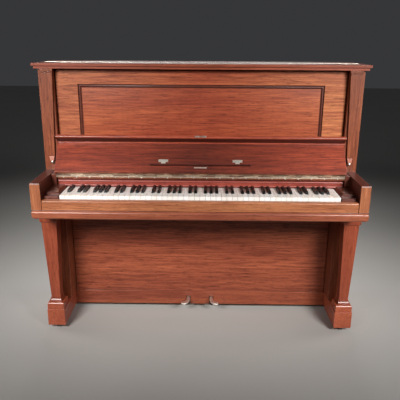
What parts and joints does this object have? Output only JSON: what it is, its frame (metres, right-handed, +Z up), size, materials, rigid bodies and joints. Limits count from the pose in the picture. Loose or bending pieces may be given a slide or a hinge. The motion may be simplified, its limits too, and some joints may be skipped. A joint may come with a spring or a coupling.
{
  "type": "upright piano",
  "caption": "Upright piano in figured mahogany with a leaning fallboard, working keys, folding lid, tapered legs on toe blocks and two pedals.",
  "frame": {"origin": "centre of the overall box in plan, at floor level", "axes": "+X to the player's right (treble), +Y from the player to the back of the case, +Z up"},
  "size_m": [1.497, 0.592, 1.266],
  "materials": {
    "case_wood": "French-polished mahogany veneer",
    "panel_wood": "figured mahogany veneer, satin gloss",
    "red_wood": "red-stained polished strip",
    "back_wood": "unfinished softwood",
    "spruce": "varnished spruce",
    "action_wood": "bare beech and maple",
    "white_tops": "polished key covering",
    "black_tops": "polished black",
    "nickel": "worn nickel plate",
    "brass": "polished brass",
    "bronze_iron": "bronzed cast iron",
    "steel": "drawn steel",
    "iron": "dark cast iron"
  },
  "bodies": {
    "case": {"action_frame": "iron", "arms": "case_wood", "back_frame": "back_wood", "bottom_board": "back_wood", "bottom_rail": "case_wood", "case_side_left": "case_wood", "case_side_right": "case_wood", "caster_housings": "iron", "dampers": "action_wood", "fallboard_hinge_fixed": "nickel", "fallboard_rail": "case_wood", "hammers_middle": "action_wood", "iron_plate": "bronze_iron", "key_bed": "case_wood", "key_bed_moulding": "case_wood", "key_blocks": "case_wood", "key_frame": "back_wood", "key_slip": "case_wood", "legs": "case_wood", "lid_rear": "case_wood", "name_board": "red_wood", "pilasters": "case_wood", "pin_block": "back_wood", "sound_board": "spruce", "strings": "steel", "toe_rails": "case_wood", "tuning_pins": "steel"},
    "lid": {"lid_front": "case_wood", "lid_hinge": "nickel"},
    "upper_panel": {"upper_panel": "panel_wood"},
    "lower_panel": {"lower_panel": "panel_wood"},
    "fallboard": {"fallboard_leaf": "case_wood", "fallboard_lip": "case_wood", "fallboard_hinge": "nickel", "fallboard_fittings": "brass"},
    "music_ledge": {"music_ledge": "case_wood"},
    "pedal_left": {"pedal_left": "nickel"},
    "pedal_right": {"pedal_right": "nickel"},
    "trap_lever_left": {"trap_lever_left": "back_wood"},
    "trap_lever_right": {"trap_lever_right": "back_wood"},
    "pedal_rod_left": {"pedal_rod_left": "back_wood"},
    "pedal_rod_right": {"pedal_rod_right": "back_wood"},
    "front_casters": {"front_caster_wheels": "iron"},
    "rear_casters": {"rear_caster_wheels": "iron"},
    "white_keys": {"white_keys": "white_tops"},
    "black_keys": {"black_keys": "black_tops"},
    "hammers_white": {"hammers_white": "action_wood"},
    "hammers_black": {"hammers_black": "action_wood"},
    "key_c": {"key_c": "white_tops"},
    "key_c_sharp": {"key_c_sharp": "black_tops"},
    "key_d": {"key_d": "white_tops"},
    "key_d_sharp": {"key_d_sharp": "black_tops"},
    "key_e": {"key_e": "white_tops"},
    "key_f": {"key_f": "white_tops"},
    "key_f_sharp": {"key_f_sharp": "black_tops"},
    "key_g": {"key_g": "white_tops"},
    "key_g_sharp": {"key_g_sharp": "black_tops"},
    "key_a": {"key_a": "white_tops"},
    "key_a_sharp": {"key_a_sharp": "black_tops"},
    "key_b": {"key_b": "white_tops"}
  },
  "joints": [
    {"name": "lid_fold", "type": "hinge", "parent": "case", "child": "lid", "pos_m": [0, 0.091, 1.264], "axis": [-1, 0, 0], "range_deg": [0, 175]},
    {"name": "upper_panel_tilt", "type": "hinge", "parent": "case", "child": "upper_panel", "pos_m": [0, -0.009, 0.777], "axis": [1, 0, 0], "range_deg": [0, 4]},
    {"name": "lower_panel_tilt", "type": "hinge", "parent": "case", "child": "lower_panel", "pos_m": [0, 0.067, 0.101], "axis": [1, 0, 0], "range_deg": [0, 12]},
    {"name": "fallboard_close", "type": "hinge", "parent": "case", "child": "fallboard", "pos_m": [0, -0.11384, 0.77655], "axis": [1, 0, 0], "range_deg": [0, 127]},
    {"name": "music_ledge_fold", "type": "hinge", "parent": "fallboard", "child": "music_ledge", "pos_m": [0, -0.11449, 0.82587], "axis": [-1, 0, 0], "range_deg": [0, 88]},
    {"name": "pedal_press_left", "type": "hinge", "parent": "case", "child": "pedal_left", "pos_m": [-0.06, 0.113, 0.063], "axis": [1, 0, 0], "range_deg": [0, 8], "stiffness_Nm_per_rad": 6, "springref_deg": -20.05},
    {"name": "trap_lift_left", "type": "hinge", "parent": "case", "child": "trap_lever_left", "pos_m": [-0.62, 0.161, 0.106], "axis": [0, -1, 0], "range_deg": [0, 0.7]},
    {"name": "rod_lift_left", "type": "slide", "parent": "case", "child": "pedal_rod_left", "axis": [0, 0, 1], "range_m": [0, 0.0034]},
    {"name": "pedal_press_right", "type": "hinge", "parent": "case", "child": "pedal_right", "pos_m": [0.06, 0.113, 0.063], "axis": [1, 0, 0], "range_deg": [0, 8], "stiffness_Nm_per_rad": 6, "springref_deg": -20.05},
    {"name": "trap_lift_right", "type": "hinge", "parent": "case", "child": "trap_lever_right", "pos_m": [0.62, 0.161, 0.106], "axis": [0, 1, 0], "range_deg": [0, 0.7]},
    {"name": "rod_lift_right", "type": "slide", "parent": "case", "child": "pedal_rod_right", "axis": [0, 0, 1], "range_m": [0, 0.0034]},
    {"name": "front_casters_roll", "type": "hinge", "parent": "case", "child": "front_casters", "pos_m": [0, -0.127, 0.019], "axis": [1, 0, 0], "continuous": true},
    {"name": "rear_casters_roll", "type": "hinge", "parent": "case", "child": "rear_casters", "pos_m": [0, 0.251, 0.019], "axis": [1, 0, 0], "continuous": true},
    {"name": "key_c_press", "type": "hinge", "parent": "case", "child": "key_c", "pos_m": [0, -0.014, 0.689], "axis": [1, 0, 0], "range_deg": [0, 2.6], "stiffness_Nm_per_rad": 0.5, "springref_deg": -17.19},
    {"name": "key_c_sharp_press", "type": "hinge", "parent": "case", "child": "key_c_sharp", "pos_m": [0, -0.014, 0.689], "axis": [1, 0, 0], "range_deg": [0, 2.6], "stiffness_Nm_per_rad": 0.5, "springref_deg": -17.19},
    {"name": "key_d_press", "type": "hinge", "parent": "case", "child": "key_d", "pos_m": [0, -0.014, 0.689], "axis": [1, 0, 0], "range_deg": [0, 2.6], "stiffness_Nm_per_rad": 0.5, "springref_deg": -17.19},
    {"name": "key_d_sharp_press", "type": "hinge", "parent": "case", "child": "key_d_sharp", "pos_m": [0, -0.014, 0.689], "axis": [1, 0, 0], "range_deg": [0, 2.6], "stiffness_Nm_per_rad": 0.5, "springref_deg": -17.19},
    {"name": "key_e_press", "type": "hinge", "parent": "case", "child": "key_e", "pos_m": [0, -0.014, 0.689], "axis": [1, 0, 0], "range_deg": [0, 2.6], "stiffness_Nm_per_rad": 0.5, "springref_deg": -17.19},
    {"name": "key_f_press", "type": "hinge", "parent": "case", "child": "key_f", "pos_m": [0, -0.014, 0.689], "axis": [1, 0, 0], "range_deg": [0, 2.6], "stiffness_Nm_per_rad": 0.5, "springref_deg": -17.19},
    {"name": "key_f_sharp_press", "type": "hinge", "parent": "case", "child": "key_f_sharp", "pos_m": [0, -0.014, 0.689], "axis": [1, 0, 0], "range_deg": [0, 2.6], "stiffness_Nm_per_rad": 0.5, "springref_deg": -17.19},
    {"name": "key_g_press", "type": "hinge", "parent": "case", "child": "key_g", "pos_m": [0, -0.014, 0.689], "axis": [1, 0, 0], "range_deg": [0, 2.6], "stiffness_Nm_per_rad": 0.5, "springref_deg": -17.19},
    {"name": "key_g_sharp_press", "type": "hinge", "parent": "case", "child": "key_g_sharp", "pos_m": [0, -0.014, 0.689], "axis": [1, 0, 0], "range_deg": [0, 2.6], "stiffness_Nm_per_rad": 0.5, "springref_deg": -17.19},
    {"name": "key_a_press", "type": "hinge", "parent": "case", "child": "key_a", "pos_m": [0, -0.014, 0.689], "axis": [1, 0, 0], "range_deg": [0, 2.6], "stiffness_Nm_per_rad": 0.5, "springref_deg": -17.19},
    {"name": "key_a_sharp_press", "type": "hinge", "parent": "case", "child": "key_a_sharp", "pos_m": [0, -0.014, 0.689], "axis": [1, 0, 0], "range_deg": [0, 2.6], "stiffness_Nm_per_rad": 0.5, "springref_deg": -17.19},
    {"name": "key_b_press", "type": "hinge", "parent": "case", "child": "key_b", "pos_m": [0, -0.014, 0.689], "axis": [1, 0, 0], "range_deg": [0, 2.6], "stiffness_Nm_per_rad": 0.5, "springref_deg": -17.19},
    {"name": "white_keys_press", "type": "hinge", "parent": "case", "child": "white_keys", "pos_m": [0, -0.014, 0.689], "axis": [1, 0, 0], "range_deg": [0, 2.6], "stiffness_Nm_per_rad": 25, "springref_deg": -17.19},
    {"name": "black_keys_press", "type": "hinge", "parent": "case", "child": "black_keys", "pos_m": [0, -0.014, 0.689], "axis": [1, 0, 0], "range_deg": [0, 2.6], "stiffness_Nm_per_rad": 17, "springref_deg": -17.19},
    {"name": "hammers_white_strike", "type": "hinge", "parent": "case", "child": "hammers_white", "pos_m": [0, 0.113, 0.88], "axis": [-1, 0, 0], "range_deg": [0, 16]},
    {"name": "hammers_black_strike", "type": "hinge", "parent": "case", "child": "hammers_black", "pos_m": [0, 0.113, 0.88], "axis": [-1, 0, 0], "range_deg": [0, 16]}
  ],
  "couplings": [
    {"joint": "trap_lift_left", "follows": "pedal_press_left", "ratio": 0.085714},
    {"joint": "rod_lift_left", "follows": "pedal_press_left", "m_per_rad": 0.023143},
    {"joint": "trap_lift_right", "follows": "pedal_press_right", "ratio": 0.085714},
    {"joint": "rod_lift_right", "follows": "pedal_press_right", "m_per_rad": 0.023143},
    {"joint": "hammers_white_strike", "follows": "white_keys_press", "ratio": 6},
    {"joint": "hammers_black_strike", "follows": "black_keys_press", "ratio": 6}
  ]
}
